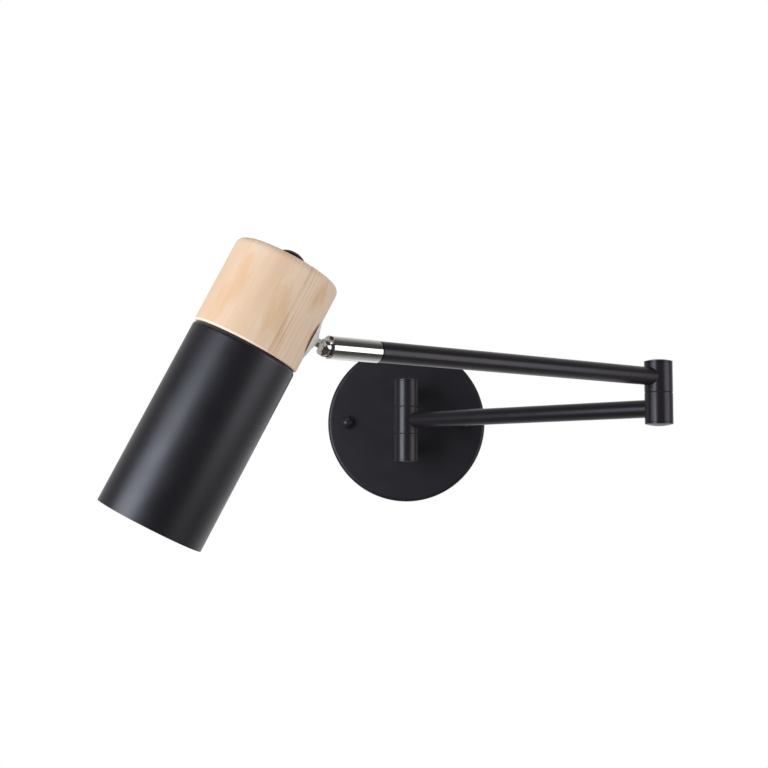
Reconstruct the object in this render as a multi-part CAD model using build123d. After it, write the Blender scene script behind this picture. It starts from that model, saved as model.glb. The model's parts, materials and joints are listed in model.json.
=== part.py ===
from build123d import *
import os
from math import cos, hypot, radians, sin, sqrt

# Articulating wall lamp, millimetres.  The wall is the plane Y = 0, the lamp stands out from it
# along -Y, +X is to the right of someone who faces the wall and +Z is up.  The origin is the
# middle of the crossbar's back face, where it lies against the wall.

# --- Driving dimensions: wall mount ---
CANOPY_DIAMETER = 140.0
CANOPY_DEPTH = 22.0
CANOPY_SHEET = 1.2
CANOPY_EDGE_RADIUS = 3.0
CANOPY_BACK_CLEARANCE = 0.2          # the pan's rim stops just short of the wall face

CROSSBAR_LENGTH = 124.0
CROSSBAR_WIDTH = 20.0
CROSSBAR_THICKNESS = 2.5
WALL_SLOT_SPACING = 60.0
WALL_SLOT_WIDTH = 5.0
WALL_SLOT_LENGTH = 12.0

STUD_SPACING = 105.0
STUD_DIAMETER = 4.0
STUD_HOLE_CLEARANCE = 0.3
STUD_GRIP_IN_NUT = 5.5
CAP_NUT_ACROSS_FLATS = 10.0
CAP_NUT_HEX_HEIGHT = 4.5
CAP_NUT_DOME_RADIUS = 4.7
CAP_NUT_DOME_FLATTENING = 0.9

TERMINAL_BLOCK_LENGTH = 30.0
TERMINAL_BLOCK_WIDTH = 15.0
TERMINAL_BLOCK_HEIGHT = 11.0
TERMINAL_POLES = 3
TERMINAL_WIRE_HOLE_RADIUS = 1.9
TERMINAL_SCREW_RADIUS = 1.6
TERMINAL_SCREW_LENGTH = 5.0
SMALL_DRIVE_WIDTH = 0.6              # driver slots of the screws in the canopy
SMALL_DRIVE_DEPTH = 0.8
EARTH_SCREW_X = 20.0
EARTH_SCREW_RADIUS = 2.0
EARTH_SCREW_END = 0.2                # its tip stays this far off the wall
EARTH_SCREW_HEAD_RADIUS = 3.6
EARTH_SCREW_HEAD_HEIGHT = 2.6
EARTH_WASHER_RADIUS = 4.4
EARTH_WASHER_THICKNESS = 0.9

# --- Driving dimensions: knuckles and arms ---
HUB_STANDOFF = 57.0                  # hub axis to the wall
KNUCKLE_DIAMETER = 21.0
KNUCKLE_PITCH = 23.5                 # height from one knuckle's middle to the next
SEAM_GAP = 0.4
KNUCKLE_EDGE_CHAMFER = 0.25
BEARING_WASHER_THICKNESS = 0.3
BEARING_WASHER_RADIUS = 9.4

PIN_DIAMETER = 10.0
PIN_BORE_DIAMETER = 6.4
PIN_WINDOW_RADIUS = 2.4
PIN_END_INSET = 4.0
RUNNING_CLEARANCE = 0.05

CAP_EDGE_HEIGHT = 1.2
CAP_CROWN_HEIGHT = 1.6
CAP_SPIGOT_DEPTH = 2.0
ELBOW_COUNTERBORE_RADIUS = 8.2
ELBOW_COUNTERBORE_DEPTH = 8.0
ELBOW_NUT_ACROSS_FLATS = 13.0
ELBOW_NUT_HEIGHT = 4.0
ELBOW_PIN_PROUD = 0.6                # of the pin through its nut

ARM_TUBE_DIAMETER = 13.5
ARM_TUBE_WALL = 1.2
LOWER_ARM_LENGTH = 243.0             # hub axis to elbow axis
UPPER_ARM_LENGTH = 302.5             # elbow axis to the swivel's screw
NECK_SPIGOT_DIAMETER = 10.0
NECK_SPIGOT_LENGTH = 9.4
NECK_HOLE_CLEARANCE = 0.1
NECK_WASHER_RADIUS = 9.0
NECK_WASHER_THICKNESS = 1.0
NECK_NUT_ACROSS_FLATS = 14.0
NECK_NUT_HEIGHT = 4.0

# --- Driving dimensions: swivel ---
FORK_DIAMETER = 14.4
FORK_BODY_LENGTH = 38.2
FORK_SHOULDER = 1.3                  # end of the thick body to the screw's axis
FORK_FRONT_CHAMFER = 0.4
FORK_BACK_CHAMFER = 1.2
EAR_DIAMETER = 10.5
EAR_SETBACK = 1.2                    # middle of the ears' rounding, behind the screw's axis
SLOT_WIDTH = 3.6
SLOT_RADIUS = 5.6                    # of the slot's round floor, about the screw's axis
TONGUE_SIDE_CLEARANCE = 0.1
TONGUE_NECK_WIDTH = 5.0
SPIGOT_RADIUS = 4.4
SPIGOT_LENGTH = 17.0
BUSH_LENGTH = 12.0
RETAINING_NUT_RADIUS = 5.15
RETAINING_NUT_HEIGHT = 3.0
RETAINING_NUT_SETBACK = 0.8          # from the spigot's end
FORK_WIRE_BORE_RADIUS = 2.3
SCREW_DIAMETER = 4.0
SCREW_SEAT = 4.15                    # screw axis middle to the seat of head and nut
SCREW_HEAD_RADIUS = 3.0
SCREW_HEAD_HEIGHT = 1.5
SCREW_DRIVE_WIDTH = 0.8
SCREW_DRIVE_DEPTH = 0.8
SCREW_NUT_ACROSS_FLATS = 5.2
SCREW_POCKET_CLEARANCE = 0.15
STEM_DIAMETER = 9.0
STEM_START = 6.7                     # from the screw's axis
STEM_THREAD_DIAMETER = 7.0
STEM_WASHER_RADIUS = 7.5
STEM_WASHER_THICKNESS = 1.0
STEM_NUT_ACROSS_FLATS = 11.0
STEM_NUT_HEIGHT = 3.5
STEM_TAIL = 1.0

# --- Driving dimensions: head ---
WOOD_DIAMETER = 68.6
WOOD_HEIGHT = 57.6
WOOD_TOP_RADIUS = 5.0
WOOD_BOTTOM_CHAMFER = 0.8
WOOD_BORE_RADIUS = 24.0
WOOD_TOP_THICKNESS = 12.5
WOOD_PAD_X = 21.5                    # flat inside the bore that the stem's washer sits on
WOOD_PAD_BOTTOM = 8.0
SIDE_JOINT_HEIGHT = 22.6             # stem axis above the seam of wood and shade
FLANGE_DIAMETER = 26.0
FLANGE_THICKNESS = 2.6
FLANGE_EDGE_THICKNESS = 0.7
FLANGE_TOP_DIAMETER = 11.0
FLANGE_SINK = 0.8                    # how deep the spot face lets the flange into the wood
FLANGE_TO_SCREW = 7.3                # flange's outer face to the swivel's screw
FLANGE_SPOT_CLEARANCE = 0.2

SHADE_DIAMETER = 68.0
SHADE_LENGTH = 120.7
SHADE_SHEET = 1.0
SHADE_SHOULDER_RADIUS = 3.0
SHADE_LIP_THICKNESS = 0.8
SHADE_LIP_HEIGHT = 2.4
SHADE_SCREW_COUNT = 3
SHADE_SCREW_CIRCLE = 27.3
SHADE_SCREW_RADIUS = 1.5
SHADE_SCREW_LENGTH = 12.0
SHADE_SCREW_HEAD_RADIUS = 2.8
SHADE_SCREW_HEAD_HEIGHT = 1.8

HOLDER_SKIRT_RADIUS = 19.5
HOLDER_SKIRT_LENGTH = 24.0
HOLDER_SHOULDER_RADIUS = 22.0
HOLDER_SHOULDER_HEIGHT = 3.0
HOLDER_DOME_RADIUS = 13.0
HOLDER_DOME_START = 8.0
HOLDER_DOME_CHAMFER = 4.0
HOLDER_TOP = 26.0
HOLDER_BORE_RADIUS = 14.3
HOLDER_BORE_TOP = 6.0
HOLDER_HOLE_CLEARANCE = 0.2
RING_OUTER_RADIUS = 24.0
RING_HEIGHT = 5.0
RING_NOTCHES = 8
RING_NOTCH_RADIUS = 1.8
RING_NOTCH_DEPTH = 0.9
SHELL_THICKNESS = 0.5
SHELL_HEIGHT = 20.0
SHELL_TOP_INSET = 2.0                # below the bore's top
CONTACT_LENGTH = 12.0
CONTACT_WIDTH = 6.0
CONTACT_THICKNESS = 0.6
CONTACT_TIP_RADIUS = 2.5

BULB_CAP_RADIUS = 13.1
BULB_CAP_LENGTH = 25.0
BULB_CAP_SHEET = 0.6
BULB_CAP_SHOULDER = 3.0
BULB_CAP_HOLLOW = 8.0                # depth of the cap's open lower end
BULB_BUTTON_RADIUS = 4.6
BULB_BUTTON_HEIGHT = 2.0
BULB_GLOBE_RADIUS = 22.5
BULB_GLOBE_DROP = 29.0               # cap's mouth to the globe's middle
BULB_NECK_RADIUS = 12.4
BULB_GLASS_THICKNESS = 0.8

SWITCH_BODY_RADIUS = 12.0
SWITCH_BODY_HEIGHT = 11.0
SWITCH_BUSHING_RADIUS = 5.0
SWITCH_BUSHING_INSET = 0.4           # below the wood's top
SWITCH_NUT_ACROSS_FLATS = 12.0
SWITCH_NUT_HEIGHT = 2.2
SWITCH_RECESS_RADIUS = 7.2
SWITCH_RECESS_DEPTH = 3.0
SPINDLE_RADIUS = 3.0
SPINDLE_DEPTH = 8.0
SPINDLE_END_GAP = 0.3
KNOB_DIAMETER = 15.0
KNOB_HEIGHT = 7.0
KNOB_SKIRT_HEIGHT = 4.6
KNOB_GAP = 0.4
KNOB_FLUTES = 14
KNOB_FLUTE_RADIUS = 0.75
KNOB_GRIP_ON_SPINDLE = 4.6

# --- Rest pose, as the lamp stands in use, degrees ---
LOWER_ARM_SWING = 39.3               # from +X towards the room
UPPER_ARM_SWING = 38.2               # from -X towards the room
FORK_ROLL = 44.0                     # screw axis up from the horizontal
HEAD_TILT = 39.2                     # stem away from the arm's line
HEAD_SPIN = -37.6                    # head about its stem

# --- Worked out from the driving dimensions ---
knuckle_radius = KNUCKLE_DIAMETER / 2
knuckle_height = KNUCKLE_PITCH - SEAM_GAP
pin_radius = PIN_DIAMETER / 2
pin_bore_radius = PIN_BORE_DIAMETER / 2
tube_radius = ARM_TUBE_DIAMETER / 2
tube_bore_radius = tube_radius - ARM_TUBE_WALL
canopy_radius = CANOPY_DIAMETER / 2
canopy_inner_front = CANOPY_DEPTH - CANOPY_SHEET
stud_radius = STUD_DIAMETER / 2
ear_radius = EAR_DIAMETER / 2
screw_radius = SCREW_DIAMETER / 2
stem_radius = STEM_DIAMETER / 2
thread_radius = STEM_THREAD_DIAMETER / 2
wood_radius = WOOD_DIAMETER / 2
shade_radius = SHADE_DIAMETER / 2
flange_outer_x = wood_radius - FLANGE_SINK + FLANGE_THICKNESS
screw_from_head_axis = flange_outer_x + FLANGE_TO_SCREW
wood_bore_top = WOOD_HEIGHT - WOOD_TOP_THICKNESS

up = Vector(0, 0, 1)
lower_direction = Vector(cos(radians(LOWER_ARM_SWING)), -sin(radians(LOWER_ARM_SWING)), 0)
upper_direction = Vector(-cos(radians(UPPER_ARM_SWING)), -sin(radians(UPPER_ARM_SWING)), 0)
hub_point = Vector(0, -HUB_STANDOFF, 0)
elbow_point = hub_point + lower_direction * LOWER_ARM_LENGTH
pivot_point = elbow_point + up * KNUCKLE_PITCH + upper_direction * UPPER_ARM_LENGTH

level_direction = up.cross(upper_direction)
screw_direction = level_direction * cos(radians(FORK_ROLL)) + up * sin(radians(FORK_ROLL))
tilt_direction = screw_direction.cross(upper_direction)
stem_direction = upper_direction * cos(radians(HEAD_TILT)) - tilt_direction * sin(radians(HEAD_TILT))
side_direction = stem_direction * -1
spin_direction = side_direction.cross(screw_direction)
head_direction = screw_direction * cos(radians(HEAD_SPIN)) + spin_direction * sin(radians(HEAD_SPIN))
head_point = pivot_point - side_direction * screw_from_head_axis - head_direction * SIDE_JOINT_HEIGHT

# Frames: local z leads out of the wall, up the knuckles, or up the head's axis.
wall_frame = Plane(origin=(0, 0, 0), x_dir=(1, 0, 0), z_dir=(0, -1, 0))
hub_frame = Plane(origin=hub_point, x_dir=lower_direction, z_dir=up)
elbow_frame = Plane(origin=elbow_point, x_dir=lower_direction * -1, z_dir=up)
upper_frame = Plane(origin=elbow_point + up * KNUCKLE_PITCH, x_dir=upper_direction, z_dir=up)
fork_frame = Plane(
    origin=pivot_point, x_dir=upper_direction, z_dir=upper_direction.cross(screw_direction)
)
tongue_frame = Plane(
    origin=pivot_point, x_dir=stem_direction, z_dir=stem_direction.cross(screw_direction)
)
head_frame = Plane(origin=head_point, x_dir=side_direction, z_dir=head_direction)


def rod(axis, radius, start, end):
    """A cylinder about a local axis, from one place on that axis to another."""
    middle = (start + end) / 2
    body = Cylinder(radius, end - start)
    if axis == "x":
        return Pos(middle, 0, 0) * Rot(0, 90, 0) * body
    if axis == "y":
        return Pos(0, middle, 0) * Rot(-90, 0, 0) * body
    return Pos(0, 0, middle) * body


def ring(axis, outer_radius, inner_radius, start, end):
    """A tube about a local axis."""
    return rod(axis, outer_radius, start, end) - rod(axis, inner_radius, start - 1, end + 1)


def hexagon(axis, across_flats, start, end, turn=0.0):
    """A hexagonal prism about a local axis, with a corner on the next axis before it is turned."""
    corner_radius = across_flats / sqrt(3)
    body = extrude(Rot(0, 0, turn) * RegularPolygon(corner_radius, 6), end - start)
    if axis == "x":
        return Pos(start, 0, 0) * Rot(0, 90, 0) * body
    if axis == "y":
        return Pos(0, start, 0) * Rot(-90, 0, 0) * body
    return Pos(0, 0, start) * body


def hex_nut(axis, across_flats, bore_radius, start, end):
    """A nut about a local axis."""
    return hexagon(axis, across_flats, start, end) - rod(axis, bore_radius, start - 1, end + 1)


def slab(x_range, y_range, z_range):
    """A box between two places on each local axis."""
    size = [high - low for low, high in (x_range, y_range, z_range)]
    middle = [(high + low) / 2 for low, high in (x_range, y_range, z_range)]
    return Pos(*middle) * Box(*size)


def save(name, shape, frame=None):
    """Write one node, moved from its local frame to its place in the lamp."""
    placed = shape if frame is None else frame * shape
    solids = placed.solids()
    whole = solids[0] if len(solids) == 1 else Compound(children=list(solids))
    export_step(whole, f"parts/{name}.step")


# ---------------------------------------------------------------- wall mount
def make_wall_crossbar():
    """Steel strap with round ends, two slots for wall screws and three tapped holes."""
    half_straight = (CROSSBAR_LENGTH - CROSSBAR_WIDTH) / 2
    strap = slab(
        (-half_straight, half_straight),
        (-CROSSBAR_WIDTH / 2, CROSSBAR_WIDTH / 2),
        (0, CROSSBAR_THICKNESS),
    )
    for side in (-1, 1):
        strap += Pos(side * half_straight, 0, 0) * rod("z", CROSSBAR_WIDTH / 2, 0, CROSSBAR_THICKNESS)
        slot = extrude(SlotOverall(WALL_SLOT_LENGTH, WALL_SLOT_WIDTH), 3 * CROSSBAR_THICKNESS)
        strap -= Pos(side * WALL_SLOT_SPACING / 2, 0, -CROSSBAR_THICKNESS) * slot
        tapped_hole = rod("z", stud_radius, -1, CROSSBAR_THICKNESS + 1)
        strap -= Pos(side * STUD_SPACING / 2, 0, 0) * tapped_hole
    earth_hole = rod("z", EARTH_SCREW_RADIUS, -1, CROSSBAR_THICKNESS + 1)
    return strap - Pos(EARTH_SCREW_X, 0, 0) * earth_hole


def make_canopy():
    """Round pan, open towards the wall, with a rolled front edge and holes for studs and necks."""
    pan = rod("z", canopy_radius, CANOPY_BACK_CLEARANCE, CANOPY_DEPTH)
    pan = fillet(pan.faces().sort_by(Axis.Z)[-1].edges(), CANOPY_EDGE_RADIUS)
    hollow = rod("z", canopy_radius - CANOPY_SHEET, -1, canopy_inner_front)
    hollow = fillet(hollow.faces().sort_by(Axis.Z)[-1].edges(), CANOPY_EDGE_RADIUS - CANOPY_SHEET)
    pan -= hollow
    stud_hole = rod("z", stud_radius + STUD_HOLE_CLEARANCE, canopy_inner_front - 1, CANOPY_DEPTH + 1)
    neck_hole_radius = NECK_SPIGOT_DIAMETER / 2 + NECK_HOLE_CLEARANCE
    neck_hole = rod("z", neck_hole_radius, canopy_inner_front - 1, CANOPY_DEPTH + 1)
    for side in (-1, 1):
        pan -= Pos(side * STUD_SPACING / 2, 0, 0) * stud_hole
        pan -= Pos(0, side * KNUCKLE_PITCH, 0) * neck_hole
    return pan


def make_canopy_studs():
    """Two studs screwed into the crossbar; each ends inside a cap nut."""
    stud = rod("z", stud_radius, 0, CANOPY_DEPTH + STUD_GRIP_IN_NUT)
    return Compound(children=[Pos(side * STUD_SPACING / 2, 0, 0) * stud for side in (-1, 1)])


def make_cap_nuts():
    """Two acorn nuts, a corner of each hexagon upwards, that clamp the canopy."""
    hex_top = CANOPY_DEPTH + CAP_NUT_HEX_HEIGHT
    nut = hexagon("z", CAP_NUT_ACROSS_FLATS, CANOPY_DEPTH, hex_top, turn=90)
    taper = Cone(
        CAP_NUT_ACROSS_FLATS / 2 + CAP_NUT_HEX_HEIGHT, CAP_NUT_ACROSS_FLATS / 2, CAP_NUT_HEX_HEIGHT
    )
    nut &= Pos(0, 0, CANOPY_DEPTH + CAP_NUT_HEX_HEIGHT / 2) * taper
    reach = 2 * CAP_NUT_DOME_RADIUS
    dome = Sphere(CAP_NUT_DOME_RADIUS) & slab((-reach, reach), (-reach, reach), (0, reach))
    nut += Pos(0, 0, hex_top) * scale(dome, (1, 1, CAP_NUT_DOME_FLATTENING))
    nut -= rod("z", stud_radius, CANOPY_DEPTH - 1, CANOPY_DEPTH + STUD_GRIP_IN_NUT)
    return Compound(children=[Pos(side * STUD_SPACING / 2, 0, 0) * nut for side in (-1, 1)])


def terminal_pole_places():
    """Where each pole of the terminal block lies along its length."""
    pitch = TERMINAL_BLOCK_LENGTH / TERMINAL_POLES
    return [(pole - (TERMINAL_POLES - 1) / 2) * pitch for pole in range(TERMINAL_POLES)]


def make_terminal_block():
    """Three-pole block on the crossbar, its wire holes across and two screws over each pole."""
    top = CROSSBAR_THICKNESS + TERMINAL_BLOCK_HEIGHT
    wire_height = CROSSBAR_THICKNESS + TERMINAL_BLOCK_HEIGHT / 2
    half_length = TERMINAL_BLOCK_LENGTH / 2
    half_width = TERMINAL_BLOCK_WIDTH / 2
    block = slab((-half_length, half_length), (-half_width, half_width), (CROSSBAR_THICKNESS, top))
    for place in terminal_pole_places():
        wire_hole = rod("y", TERMINAL_WIRE_HOLE_RADIUS, -half_width - 1, half_width + 1)
        block -= Pos(place, 0, wire_height) * wire_hole
        for side in (-1, 1):
            screw_hole = rod("z", TERMINAL_SCREW_RADIUS, wire_height, top + 1)
            block -= Pos(place, side * half_width / 2, 0) * screw_hole
    return block


def make_terminal_screws():
    """Slotted grub screws, two to a pole, level with the block's top."""
    top = CROSSBAR_THICKNESS + TERMINAL_BLOCK_HEIGHT
    screw = rod("z", TERMINAL_SCREW_RADIUS, top - TERMINAL_SCREW_LENGTH, top)
    screw -= slab(
        (-TERMINAL_SCREW_RADIUS - 1, TERMINAL_SCREW_RADIUS + 1),
        (-SMALL_DRIVE_WIDTH / 2, SMALL_DRIVE_WIDTH / 2),
        (top - SMALL_DRIVE_DEPTH, top + 1),
    )
    screws = []
    for place in terminal_pole_places():
        for side in (-1, 1):
            screws.append(Pos(place, side * TERMINAL_BLOCK_WIDTH / 4, 0) * screw)
    return Compound(children=screws)


def make_earth_screw():
    """Pan-head screw with a washer, for the earth wire."""
    seat = CROSSBAR_THICKNESS + EARTH_WASHER_THICKNESS
    head_top = seat + EARTH_SCREW_HEAD_HEIGHT
    screw = rod("z", EARTH_SCREW_RADIUS, EARTH_SCREW_END, seat)
    screw += rod("z", EARTH_SCREW_HEAD_RADIUS, seat, head_top)
    screw += rod("z", EARTH_WASHER_RADIUS, CROSSBAR_THICKNESS, seat)
    screw -= slab(
        (-EARTH_SCREW_HEAD_RADIUS - 1, EARTH_SCREW_HEAD_RADIUS + 1),
        (-SMALL_DRIVE_WIDTH / 2, SMALL_DRIVE_WIDTH / 2),
        (head_top - SMALL_DRIVE_DEPTH, head_top + 1),
    )
    return Pos(EARTH_SCREW_X, 0, 0) * screw


def make_neck(side):
    """Turned neck from the canopy to a fixed hub knuckle, hollow for the wires."""
    spigot_end = CANOPY_DEPTH - NECK_SPIGOT_LENGTH
    neck = rod("z", tube_radius, CANOPY_DEPTH, HUB_STANDOFF)
    neck += rod("z", NECK_SPIGOT_DIAMETER / 2, spigot_end, CANOPY_DEPTH)
    neck -= rod("z", pin_bore_radius, spigot_end - 1, HUB_STANDOFF + 1)
    neck -= Pos(0, 0, HUB_STANDOFF) * rod("y", knuckle_radius, -KNUCKLE_PITCH, KNUCKLE_PITCH)
    return Pos(0, side * KNUCKLE_PITCH, 0) * neck


def make_neck_fasteners():
    """Washers and nuts that hold both necks from inside the canopy."""
    washer_end = canopy_inner_front - NECK_WASHER_THICKNESS
    nut_end = washer_end - NECK_NUT_HEIGHT
    spigot_radius = NECK_SPIGOT_DIAMETER / 2
    washer = ring("z", NECK_WASHER_RADIUS, spigot_radius, washer_end, canopy_inner_front)
    nut = hex_nut("z", NECK_NUT_ACROSS_FLATS, spigot_radius, nut_end, washer_end)
    washers = Compound(children=[Pos(0, side * KNUCKLE_PITCH, 0) * washer for side in (-1, 1)])
    nuts = Compound(children=[Pos(0, side * KNUCKLE_PITCH, 0) * nut for side in (-1, 1)])
    return washers, nuts


# ---------------------------------------------------------------- knuckles
def make_knuckle(bore_radius, low, high):
    """One drum of a hinge, about local z, with lightly broken edges."""
    drum = rod("z", knuckle_radius, low, high)
    drum = chamfer(drum.edges(), KNUCKLE_EDGE_CHAMFER)
    return drum - rod("z", bore_radius, low - 1, high + 1)


def make_bearing_washer(height):
    """Thin nylon washer in the seam under a turning knuckle."""
    low = height - BEARING_WASHER_THICKNESS / 2
    inner_radius = pin_radius + RUNNING_CLEARANCE
    return ring("z", BEARING_WASHER_RADIUS, inner_radius, low, low + BEARING_WASHER_THICKNESS)


def make_end_cap(spigot_radius):
    """Slightly crowned disc with a short spigot below; local z = 0 is its seat."""
    top = CAP_EDGE_HEIGHT + CAP_CROWN_HEIGHT
    crown_radius = (knuckle_radius**2 + CAP_CROWN_HEIGHT**2) / (2 * CAP_CROWN_HEIGHT)
    disc = rod("z", knuckle_radius, 0, top) & (Pos(0, 0, top - crown_radius) * Sphere(crown_radius))
    return disc + rod("z", spigot_radius, -CAP_SPIGOT_DEPTH, 0)


def make_pivot_pin(low, high, windows):
    """Hollow pin about local z, cross-drilled where the wires enter and leave."""
    pin = ring("z", pin_radius, pin_bore_radius, low, high)
    for height in windows:
        pin -= Pos(0, 0, height) * rod("x", PIN_WINDOW_RADIUS, 0, 2 * pin_radius)
    return pin


def make_hub_knuckle(side):
    """Fixed knuckle above or below the lower arm's, drilled towards its neck."""
    seam = KNUCKLE_PITCH / 2 + SEAM_GAP / 2
    end = KNUCKLE_PITCH * 3 / 2 - CAP_EDGE_HEIGHT
    low, high = sorted((side * seam, side * end))
    knuckle = make_knuckle(pin_radius, low, high)
    wire_hole = rod("y", pin_bore_radius, 0, 2 * knuckle_radius)
    return knuckle - Pos(0, 0, side * KNUCKLE_PITCH) * wire_hole


hub_upright = Plane(origin=hub_point, x_dir=(1, 0, 0), z_dir=up)


def make_hub_end_caps():
    """Caps that close the top and the bottom of the hub."""
    cap = make_end_cap(pin_radius)
    seat = KNUCKLE_PITCH * 3 / 2 - CAP_EDGE_HEIGHT
    return Compound(children=[Pos(0, 0, seat) * cap, Pos(0, 0, -seat) * Rot(180, 0, 0) * cap])


def make_arm_knuckle(bore_radius, low, high):
    """Knuckle at the end of an arm, drilled along local x for the wires."""
    knuckle = make_knuckle(bore_radius, low, high)
    return knuckle - rod("x", pin_bore_radius, 0, 2 * knuckle_radius)


def make_arm_tube(length, far_knuckle):
    """Round tube along local x, saddled on the knuckle at its start and at its end if it has one."""
    tube = ring("x", tube_radius, tube_bore_radius, 0, length)
    saddle = rod("z", knuckle_radius, -KNUCKLE_PITCH, KNUCKLE_PITCH)
    tube -= saddle
    if far_knuckle:
        tube -= Pos(length, 0, 0) * saddle
    return tube


# ---------------------------------------------------------------- swivel
def make_swivel_fork():
    """Slotted fork: thick body, thinner rounded ears, round-floored slot, spigot in the arm."""
    body_end = -FORK_SHOULDER
    body_start = body_end - FORK_BODY_LENGTH
    body = rod("x", FORK_DIAMETER / 2, body_start, body_end)
    body = chamfer(body.faces().sort_by(Axis.X)[-1].edges(), FORK_FRONT_CHAMFER)
    body = chamfer(body.faces().sort_by(Axis.X)[0].edges(), FORK_BACK_CHAMFER)
    rounding = Pos(-EAR_SETBACK, 0, 0) * rod("y", ear_radius, -ear_radius, ear_radius)
    ears = rod("x", ear_radius, body_end - 1, ear_radius) & rounding
    fork = body + ears
    fork += rod("x", SPIGOT_RADIUS, body_start - SPIGOT_LENGTH, body_start)
    half_slot = SLOT_WIDTH / 2
    fork -= rod("y", SLOT_RADIUS, -half_slot, half_slot)
    fork -= slab((body_end, EAR_DIAMETER), (-half_slot, half_slot), (-FORK_DIAMETER, FORK_DIAMETER))
    fork -= rod("y", screw_radius, -EAR_DIAMETER, EAR_DIAMETER)
    for side in (-1, 1):
        start, end = sorted((side * SCREW_SEAT, side * EAR_DIAMETER))
        fork -= rod("y", SCREW_HEAD_RADIUS + SCREW_POCKET_CLEARANCE, start, end)
    return fork - rod("x", FORK_WIRE_BORE_RADIUS, body_start - SPIGOT_LENGTH - 1, 1 - SLOT_RADIUS)


def make_fork_bush():
    """Nylon bush pressed into the arm's end, in which the fork's spigot turns."""
    start = UPPER_ARM_LENGTH - FORK_SHOULDER - FORK_BODY_LENGTH - RUNNING_CLEARANCE
    inner_radius = SPIGOT_RADIUS + RUNNING_CLEARANCE
    return ring("x", tube_bore_radius, inner_radius, start - BUSH_LENGTH, start)


def make_fork_retaining_nut():
    """Round nut on the spigot's end, behind the bush."""
    spigot_end = -FORK_SHOULDER - FORK_BODY_LENGTH - SPIGOT_LENGTH
    start = spigot_end + RETAINING_NUT_SETBACK
    return ring("x", RETAINING_NUT_RADIUS, SPIGOT_RADIUS, start, start + RETAINING_NUT_HEIGHT)


def make_pivot_screw():
    """Slotted screw through both ears and the tongue."""
    head_top = SCREW_SEAT + SCREW_HEAD_HEIGHT
    screw = rod("y", screw_radius, -SCREW_SEAT - SCREW_HEAD_HEIGHT, SCREW_SEAT)
    head = rod("y", SCREW_HEAD_RADIUS, SCREW_SEAT, head_top)
    head = chamfer(head.faces().sort_by(Axis.Y)[-1].edges(), SCREW_HEAD_HEIGHT / 3)
    half_drive = SCREW_DRIVE_WIDTH / 2
    head -= slab(
        (-2 * SCREW_HEAD_RADIUS, 2 * SCREW_HEAD_RADIUS),
        (head_top - SCREW_DRIVE_DEPTH, head_top + 1),
        (-half_drive, half_drive),
    )
    return screw + head


def make_pivot_nut():
    """Small nut on the screw, against the other ear."""
    return hex_nut(
        "y", SCREW_NUT_ACROSS_FLATS, screw_radius, -SCREW_SEAT - SCREW_HEAD_HEIGHT, -SCREW_SEAT
    )


def make_swivel_tongue():
    """Flat tongue in the fork's slot, with a round stem and a threaded tail through the head."""
    half_tongue = SLOT_WIDTH / 2 - TONGUE_SIDE_CLEARANCE
    tongue = rod("y", ear_radius, -half_tongue, half_tongue)
    half_neck = TONGUE_NECK_WIDTH / 2
    tongue += slab((0, STEM_START), (-half_tongue, half_tongue), (-half_neck, half_neck))
    tongue += rod("x", stem_radius, STEM_START, FLANGE_TO_SCREW)
    tail_length = stem_tail_end()
    tongue += rod("x", thread_radius, FLANGE_TO_SCREW, tail_length)
    tongue -= rod("y", screw_radius + RUNNING_CLEARANCE, -EAR_DIAMETER, EAR_DIAMETER)
    return tongue - rod("x", FORK_WIRE_BORE_RADIUS, STEM_START + 1, tail_length + 1)


def stem_washer_place():
    """Where the washer inside the wood starts, from the screw's axis along the stem."""
    return screw_from_head_axis - WOOD_PAD_X + RUNNING_CLEARANCE


def stem_tail_end():
    """Where the stem's threaded tail ends, from the screw's axis."""
    return stem_washer_place() + STEM_WASHER_THICKNESS + STEM_NUT_HEIGHT + STEM_TAIL


def make_stem_washer():
    """Washer on the flat inside the wood."""
    start = stem_washer_place()
    return ring("x", STEM_WASHER_RADIUS, thread_radius, start, start + STEM_WASHER_THICKNESS)


def make_stem_nut():
    """Lock nut that sets how stiffly the head spins on its stem."""
    start = stem_washer_place() + STEM_WASHER_THICKNESS
    return hex_nut("x", STEM_NUT_ACROSS_FLATS, thread_radius, start, start + STEM_NUT_HEIGHT)


# ---------------------------------------------------------------- head
def shade_screw_angles():
    """Directions of the shade's screws about the head's axis, none under the side joint."""
    step = 360 / SHADE_SCREW_COUNT
    return [step / 2 + step * index for index in range(SHADE_SCREW_COUNT)]


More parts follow.
